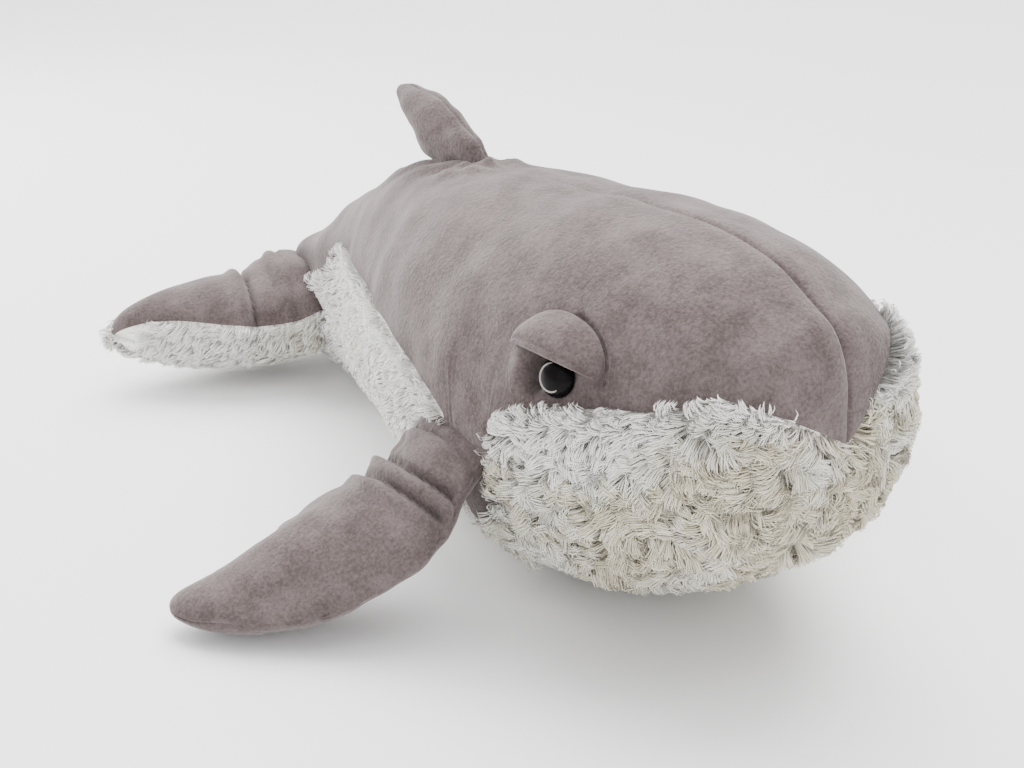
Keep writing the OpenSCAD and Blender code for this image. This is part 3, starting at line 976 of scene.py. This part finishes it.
fin_rows = np.concatenate([np.linspace(-0.6, 0.85, 30), 1 - np.linspace(0.37, 0.012, 14) ** 2])
fin_pillow = pillow(fin_rows, FIN_COLUMNS, fin_section)
fin_grid = finer(swollen(fin_pillow, fin_rows < -0.2, cap=0.0025))
fin_angle = angles_round(2 * FIN_COLUMNS)
fin_move = 0.0008 * wavy(fin_grid, 0.03, 31) + 0.0005 * wavy(fin_grid, 0.014, 32)
fin_move -= 0.0009 * bump(np.sin(fin_angle), 0, 0.12)
fin_grid = fin_grid + fin_move[..., None] * grid_normals(fin_grid)
fin_centre = fin_root + 0.5 * FIN_H * fin_up + 0.5 * FIN_LEAN * fin_axis
for side, first in (("left", True), ("right", False)):
    skin = cloth_from_grid(f"fin_skin_{side}", half_skin(fin_grid, first), fin_centre)
    finish_skin(skin, mauve, f"dorsal_fin_{side}", 0.0018)
    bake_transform(skin)
fin_core = fin_grid[::2, ::2]
height_share = np.linspace(0, 1, len(fin_core))
fin_core = fin_core[(height_share > 0.5) & (height_share < 0.95)]
fibre_from("fin_fibre", inset_grid(fin_core, 0.004), "dorsal_fin_filling", "dorsal_fin")
print("fin root", fin_root.round(3))

# %% [markdown]
# ## The body's filling
# One lump of fibre fills the head and the back. It stops well before the tail's bend.

# %% Body filling
filling_rows = np.linspace(0.02, 0.70, 96)[:, None]
body_fibre_grid = above_floor(on_body(filling_rows, angles_round(90), 0.012), 0.006)
fibre_from("body_fibre", body_fibre_grid, "body_filling", "body")

# %% [markdown]
# ## Eyes
# Each eye is a plastic safety eye: a black dome with a light ring set in it, pressed into
# the plush by the locking washer behind. The dome is a sphere, squashed and cut in half.


# %% Eyes
def turned_to(obj, place, facing):
    """Turns the piece's own +Z to face outwards, moves it to its place, and applies both."""
    obj.rotation_euler = Vector(facing).to_track_quat("Z", "Y").to_euler()
    obj.location = place
    select_only(obj)
    bpy.ops.object.transform_apply(location=True, rotation=True, scale=True)


def gloss_material(name, dark, light, roughness, scale, specular):
    material, tree, shader = new_material(name)
    cloud = noise(tree, object_coordinates(tree), scale, 3.0)
    paint(tree, shader, cloud, dark, light)
    set_inputs(shader, {"Roughness": roughness, "Specular IOR Level": specular})
    return material


eye_black = gloss_material(
    "eye_plastic", (0.002, 0.0015, 0.0015), (0.006, 0.005, 0.005), 0.22, 300.0, 0.06
)
ring_light = gloss_material(
    "eye_ring_light", (0.24, 0.22, 0.205), (0.34, 0.315, 0.30), 0.35, 500.0, 0.4
)
nylon = gloss_material("washer_nylon", (0.70, 0.70, 0.68), (0.82, 0.82, 0.80), 0.45, 200.0, 0.5)
EYE_R = 0.0105
EYE_DOME = 0.0062
EYE_SINK = 0.0018
RING_SHARE = 0.66
RING_WIRE = 0.0008
# the ring sits a little back and down, so the dome covers its front edge
RING_SUNK = 0.0004
RING_SHIFT = np.array([0, 0.0009, -0.0005])
for side, turn in MIRROR.items():
    place = (eye_centre - eye_out * EYE_SINK) * turn
    facing = eye_out * turn
    bpy.ops.object.select_all(action="DESELECT")
    bpy.ops.mesh.primitive_uv_sphere_add(segments=64, ring_count=40, radius=EYE_R)
    eye = bpy.context.object
    eye.name = f"eye_dome_{side}"
    bpy.ops.object.mode_set(mode="EDIT")
    bpy.ops.mesh.select_all(action="SELECT")
    bpy.ops.mesh.bisect(plane_co=(0, 0, 0), plane_no=(0, 0, 1), use_fill=True, clear_inner=True)
    bpy.ops.mesh.select_all(action="SELECT")
    bpy.ops.transform.resize(value=(1, 1, EYE_DOME / EYE_R), center_override=(0, 0, 0))
    bpy.ops.object.mode_set(mode="OBJECT")
    bpy.ops.object.shade_smooth_by_angle(angle=0.7)
    turned_to(eye, place, facing)
    eye.data.materials.append(eye_black)
    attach(eye, "body")
    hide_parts(f"eye_{side}")
    bpy.ops.object.select_all(action="DESELECT")
    ring_z = EYE_DOME * math.sqrt(1 - RING_SHARE**2)
    bpy.ops.mesh.primitive_torus_add(
        major_segments=72, minor_segments=12, major_radius=RING_SHARE * EYE_R, minor_radius=RING_WIRE
    )
    ring = bpy.context.object
    ring.name = f"eye_light_ring_{side}"
    bpy.ops.object.shade_smooth()
    turned_to(ring, place + facing * (ring_z - RING_SUNK) + RING_SHIFT, facing)
    ring.data.materials.append(ring_light)
    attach(ring, "body")
    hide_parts(f"eye_ring_{side}")
    washer = frame["nodes"][f"eye_washer_{side}"]
    washer.data.materials.clear()
    washer.data.materials.append(nylon)
print("eyes face", eye_out.round(2))

# %% [markdown]
# ## Eyelids
# An eyelid is a half moon of plush, folded double. Its arched edge is sewn to the head and
# its folded edge hangs free over the eye, so the fold is round and thick. The lid's section
# is a loop: out along the upper layer, round the fold, and back along the lower layer.

# %% Eyelids
LID_HOOD = 0.0115
LID_THICK = 0.0050


def lid_grid(lengths, layers):
    """Rows along the lid, columns round its section."""
    u = np.linspace(-1, 1, lengths)[:, None]
    arch, free_edge, t = lid_edges(u)
    loop = np.arange(layers)[None, :] / layers * 2 * np.pi
    share = 0.5 - 0.5 * np.cos(loop)
    lift = LID_THICK * signed_power(np.sin(loop), 0.6) * (0.25 + 0.75 * arch)
    roll = (0.0030 * bump(share, 0.95, 0.055) - 0.0016 * bump(share, 0.83, 0.05)) * arch
    angle = np.radians(free_edge - LID_RISE * arch**0.8 * (1 - share) + 0 * loop)
    off = LID_HOOD * arch**0.8 * np.sin(share * 1.9) ** 1.2 / 0.93 + (lift + roll * np.sign(lift)) / 2
    r = row_of(t + 0.004 * arch * (1 - share))
    smooth = sample(smoothed_body, r + 0 * angle, angle)
    out = unit(sample(smoothed_normal, r + 0 * angle, angle))
    return smooth + out * off[..., None]


lid_points = lid_grid(72, 56)
lid_waves = 0.0005 * wavy(lid_points, 0.018, 41)
lid_points = lid_points + lid_waves[..., None] * sample(smoothed_normal, eye_row, EYE_A)
for side, turn in MIRROR.items():
    lid_middle = lid_points.mean((0, 1)) * turn
    lid = cloth_from_grid(f"eyelid_fold_{side}", lid_points * turn, lid_middle, closed=True)
    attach(lid, "body")
    dress(lid, mauve, f"eyelid_{side}")

# %% [markdown]
# ## Long curly fur
# Long pile hangs together in locks: strands that start apart, lean the same way and meet at
# their tips. So locks are scattered over the backing first, and each strand then follows the
# nearest lock's curve. On the chin the locks swirl; on the flanks they are combed back and
# down. A strand is a thin three-sided taper, closed, with few faces, as there are thousands.


# %% Scatter and comb
def scatter(points, count, rng, wanted):
    """Random roots on a grid, by area times how much fur is wanted there, and their normals."""
    a = points[1:, :-1] - points[:-1, :-1]
    b = points[:-1, 1:] - points[:-1, :-1]
    cross = np.cross(a, b)
    area = np.linalg.norm(cross, axis=-1)
    middle = (points[1:, 1:] + points[:-1, :-1]) / 2
    area = area * wanted(middle)
    share = area.ravel() / area.sum()
    cell = rng.choice(share.size, size=count, p=share)
    i, j = np.unravel_index(cell, area.shape)
    u, v = rng.random((2, count, 1))
    return (
        (points[i, j] * (1 - u) + points[i + 1, j] * u) * (1 - v)
        + (points[i, j + 1] * (1 - u) + points[i + 1, j + 1] * u) * v,
        unit(cross[i, j]),
    )


def turned(vector, axis, angle):
    """The vectors turned round their axes, for unit axes at right angles to them."""
    return vector * np.cos(angle)[:, None] + np.cross(axis, vector) * np.sin(angle)[:, None]


STRAND_POINTS = 10
STRAND_TRIANGLES = 16
STRAND_WIDTH = 0.00044


def strands(name, roots, normals, comb, swirl, curly, length, lift, warm, seed, spacing):
    """One mesh of closed tapering strands, gathered in locks; spacing is the locks' share."""
    rng = np.random.default_rng(seed)
    count = len(roots)
    locks = rng.choice(count, size=max(int(count * spacing), 8), replace=False)
    tree = KDTree(len(locks))
    for k, lock in enumerate(locks):
        tree.insert(Vector(roots[lock]), k)
    tree.balance()
    nearest = np.array([tree.find(Vector(p))[1] for p in roots])
    lock = locks[nearest]
    lean = unit(comb - (comb * normals).sum(-1, keepdims=True) * normals)
    sway = swirl[lock] * 1.3 + rng.normal(0, 0.15 + 0.35 * curly, len(locks))[nearest]
    sway = sway + rng.normal(0, 0.10, count)
    offset = roots - roots[lock]
    side = np.cross(normals, lean)
    fan = np.clip((offset * side).sum(-1) / 0.005, -1, 1)
    direction = turned(lean, normals, sway + 0.55 * fan * np.abs(swirl[lock]))
    side = np.cross(normals, direction)
    size = length * rng.uniform(0.8, 1.2, len(locks))[nearest] * rng.uniform(0.85, 1.12, count)
    curl = rng.normal(0, curly, len(locks))[nearest] + rng.normal(0, 0.12, count)
    rise = lift * rng.uniform(0.75, 1.15, len(locks))[nearest] * rng.uniform(0.9, 1.1, count)
    rings = np.array([0.0, 0.40, 0.76, 1.0])
    widths = np.array([0.85, 1.0, 0.75, 0.0])
    spine_points = []
    reached = np.zeros_like(roots)
    last = 0.0
    for s in rings:
        up = rise * np.sin(min(s * 1.25, 1.0) * np.pi / 2) - rise * 0.35 * max(s - 0.6, 0) ** 1.5 * 4
        heading = turned(direction, normals, curl * (s + last) / 2)
        reached = reached + heading * (size * 0.95 * (s**1.3 - last**1.3))[:, None]
        last = s
        drawn = offset * (-0.62 * s**1.3)
        spine_points.append(roots + normals * up[:, None] + reached + drawn)
    spine_points = above_floor(np.stack(spine_points, 1), FLOOR_GAP)
    thick = STRAND_WIDTH * rng.uniform(0.75, 1.25, count)
    start = rng.uniform(0, 2 * np.pi, count)
    verts = []
    for k in range(3):
        for corner in range(3):
            angle = start + corner * 2 * np.pi / 3
            round_it = side * np.cos(angle)[:, None] + normals * np.sin(angle)[:, None] * 0.6
            verts.append(spine_points[:, k] + round_it * (thick * widths[k])[:, None])
    verts.append(spine_points[:, 3])
    verts = above_floor(np.stack(verts, 1), FLOOR_GAP / 2)
    quads = np.array(grid_faces(3, 3, True))
    tris = np.array([(6, 7, 9), (7, 8, 9), (8, 6, 9), (2, 1, 0)])
    base = (np.arange(count) * STRAND_POINTS)[:, None, None]
    faces = (base + quads).reshape(-1, 4).tolist() + (base + tris).reshape(-1, 3).tolist()
    obj = mesh_from(name, verts, faces)
    shade_smooth(obj)
    lock_tone = rng.random(len(locks))[nearest] * 0.7 + rng.random(count) * 0.3
    tones = {
        "along": np.tile(np.append(np.repeat(rings[:3], 3), 1.0), count),
        "lock": np.repeat(lock_tone, STRAND_POINTS),
        "warm": np.repeat(warm, STRAND_POINTS),
    }
    for label, values in tones.items():
        tone = obj.data.attributes.new(label, "FLOAT", "POINT")
        tone.data.foreach_set("value", values.astype(np.float32))
    obj.data.materials.append(fur)
    print(name, count, "strands,", count * STRAND_TRIANGLES, "triangles")
    return obj


def attribute(tree, name):
    node = tree.nodes.new("ShaderNodeAttribute")
    node.attribute_name = name
    return node.outputs["Fac"]


fur, fur_tree, fur_shader = new_material("cream_fur")
fur_along, fur_lock, fur_warm = (attribute(fur_tree, n) for n in ("along", "lock", "warm"))
white_hair = mix_colour(fur_tree, fur_lock, (0.90, 0.895, 0.875), (0.98, 0.975, 0.965))
warm_hair = mix_colour(fur_tree, fur_lock, (0.56, 0.50, 0.35), (0.84, 0.795, 0.65))
hair = mix_colour(fur_tree, fur_warm, white_hair, warm_hair)
# painted shade: each strand runs to a darker cream at its root, standing in for the shadow deep among
# the strands
root_painted_shade = math_node(fur_tree, "MULTIPLY", math_node(fur_tree, "SUBTRACT", 1.0, fur_along), 0.22)
paint(fur_tree, fur_shader, root_painted_shade, hair, (0.70, 0.65, 0.54))
set_inputs(fur_shader, {"Roughness": 0.75, "Specular IOR Level": 0.25, "Sheen Weight": 0.15})
print("material", fur.name)

# %% [markdown]
# ## Fur of the body
# The fur on one side is three pieces: the front of the chin, the cheek and the flank. The
# flank's fur crosses the tail's joint. Each piece has as many strands as keep it just
# under 200,000 triangles.

# %% Body fur
CHEEK_FROM = -0.232
CHIN_END = -0.135
BODY_STRANDS = 12300
BACK_AND_DOWN = np.array([0.0, 0.80, -0.60])
UP_OVER_SEAM = np.array([0.0, 0.35, 0.60])
fur_rng = np.random.default_rng(7)


def facing_out(normals, outwards):
    """The normals, turned to the same side as the outward directions."""
    return normals * np.sign((normals * outwards).sum(-1, keepdims=True))


def body_fur(name, wanted, seed, length, lift, curly):
    roots, normals = scatter(backing_grid, BODY_STRANDS, fur_rng, wanted)
    normals = facing_out(normals, roots - np.array(BODY_MIDDLE) - np.array([0, 0.8, 0]) * roots)
    below = soft_step(-normals[:, 2], 0.5, 0.95)
    swirl = curly * (1.5 * wavy(roots, 0.030, 51) + 0.9 * wavy(roots, 0.013, 52))
    # pile by the seam is brushed up over it
    seam_z = smooth_curve(SEAM, np.clip((roots[:, 1] - Y_FRONT) / BODY_LEN, 0, STOCK_T), 1)
    by_seam = soft_step(roots[:, 2], seam_z - 0.016, seam_z - 0.003)[:, None]
    comb = BACK_AND_DOWN * (1 - by_seam) + UP_OVER_SEAM * by_seam
    # creamy low down and over the nose, white under the eyes
    white_above = 0.100 + 0.050 * soft_step(-roots[:, 1], 0.215, 0.275)
    height = soft_step(roots[:, 2], white_above - 0.016, white_above + 0.012)
    swirl = swirl * (1 - 0.55 * height)
    yellow = 0.58 + 0.36 * soft_step(-roots[:, 1], 0.19, 0.25) + 0.5 * wavy(roots, 0.035, 53)
    warm = np.clip(curly * (1 - height) * yellow + 0.10, 0, 1)
    size = length * (1 - 0.45 * below) * (1 - 0.25 * height) * (1 - 0.42 * by_seam[:, 0])
    loft = lift * (1 - 0.65 * below) * (1 + 0.35 * by_seam[:, 0])
    return strands(name, roots, normals, comb, swirl, curly, size, loft, warm, seed, 0.04)


def between(low, high, sign):
    """A rule for fur between two places along Y, on one side of the middle."""
    return lambda p: (p[..., 0] * sign > 0) * (p[..., 1] >= low) * (p[..., 1] < high)


def on_flank(sign):
    """The rule for a flank, with four times as much fur on its side as underneath."""
    behind = between(CHIN_END, 1, sign)
    return lambda p: behind(p) * (0.5 + 1.5 * (p[..., 2] > 0.035))


for side, sign in (("right", -1), ("left", 1)):
    for part, low, high, seed in (("front", -1, CHEEK_FROM, 61), ("cheek", CHEEK_FROM, CHIN_END, 81)):
        rule = between(low, high, sign)
        chin = body_fur(f"chin_fur_{side}_{part}", rule, seed + sign, 0.0150, 0.0085, 1.0)
        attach(chin, "body")
    flank = body_fur(f"flank_fur_{side}", on_flank(sign), 65 + sign, 0.0115, 0.0058, 0.2)
    blend_tail(flank)

# %% [markdown]
# ## Fur of the fluke
# The fluke's fur is shorter and combed outwards, towards the tips.


# %% Fluke fur
def fluke_fur(name, count, sign, seed):
    def wanted(p):
        return (p[..., 0] * sign > 0) & ((np.abs(p[..., 0]) > 0.03) | (p[..., 1] > 0.25))

    roots, normals = scatter(fluke_backing_grid, count, fur_rng, wanted)
    normals = facing_out(normals, (roots - np.array([0, 0.255, 0.042])) * np.array([0, 1, 1]))
    below = soft_step(-normals[:, 2], 0.6, 0.95)
    comb = np.tile(np.array([sign * 0.8, 0.1, -0.5]), (count, 1))
    swirl = 0.35 * wavy(roots, 0.03, 54)
    warm = np.clip(0.15 + 0.4 * soft_step(-np.abs(roots[:, 0]), -0.09, -0.04), 0, 1)
    size, loft = 0.0095 * (1 - 0.4 * below), 0.0050 * (1 - 0.6 * below)
    blend_tail(strands(name, roots, normals, comb, swirl, 0.2, size, loft, warm, seed, 0.05))


fluke_fur("fluke_fur_right", 9000, -1, 71)
fluke_fur("fluke_fur_left", 9000, 1, 72)

# %% [markdown]
# ## Camera and soft studio
# The camera stands in front of the whale's right cheek and looks slightly down. Large, soft
# lights keep the shadows gentle, as in a catalogue.


# %% Camera, floor and lights
def look_from(azimuth, elevation, distance, target, focal):
    a, e = math.radians(azimuth), math.radians(elevation)
    back = Vector((math.sin(a) * math.cos(e), -math.cos(a) * math.cos(e), math.sin(e)))
    camera = new_object("camera", bpy.data.cameras.new("camera"))
    camera.data.lens = focal
    camera.data.sensor_width = 36
    camera.location = Vector(target) + back * distance
    camera.rotation_euler = (-back).to_track_quat("-Z", "Y").to_euler()
    bpy.context.scene.camera = camera
    return camera


camera = look_from(-33.7, 22.8, 0.9325, (0, -0.0175, 0.0662), 51.1)


def area_light(name, place, target, size, power):
    light = bpy.data.lights.new(name, "AREA")
    light.shape = "DISK"
    light.size = size
    light.energy = power
    lamp = new_object(name, light)
    lamp.location = place
    lamp.rotation_euler = (Vector(target) - Vector(place)).to_track_quat("-Z", "Y").to_euler()


area_light("key_light", (0.35, -0.55, 1.65), (0, 0, 0.08), 1.1, 14)
area_light("fill_light", (-1.6, -0.9, 0.8), (0, 0, 0.1), 1.4, 4.5)
area_light("rim_light", (-0.5, 1.4, 0.9), (0, 0.1, 0.1), 0.9, 24)

# a wide soft lamp overhead and a little behind, even over the whole floor
overhead = bpy.data.lights.new("overhead", "SUN")
overhead.energy = 5.8
overhead.angle = math.radians(55)
overhead_lamp = new_object("overhead", overhead)
overhead_lamp.rotation_euler = Vector((0.42, 0.50, 1.0)).to_track_quat("Z", "Y").to_euler()

world = bpy.data.worlds.new("studio")
world.use_nodes = True
set_inputs(world.node_tree.nodes["Background"], {"Color": (0.98, 0.98, 1.0, 1.0), "Strength": 1.25})
bpy.context.scene.world = world

bpy.ops.object.select_all(action="DESELECT")
bpy.ops.mesh.primitive_plane_add(size=60, location=(0, 0, -0.0002))
floor = bpy.context.object
floor.name = "floor"
floor_paint, floor_tree, floor_shader = new_material("floor_paint")
floor_tone = noise(floor_tree, object_coordinates(floor_tree), 3.0, 2.0)
paint(floor_tree, floor_shader, floor_tone, (0.93, 0.93, 0.93), (0.96, 0.96, 0.96))
set_inputs(floor_shader, {"Roughness": 0.9})
floor.data.materials.append(floor_paint)
print("camera at", [round(c, 3) for c in camera.location])
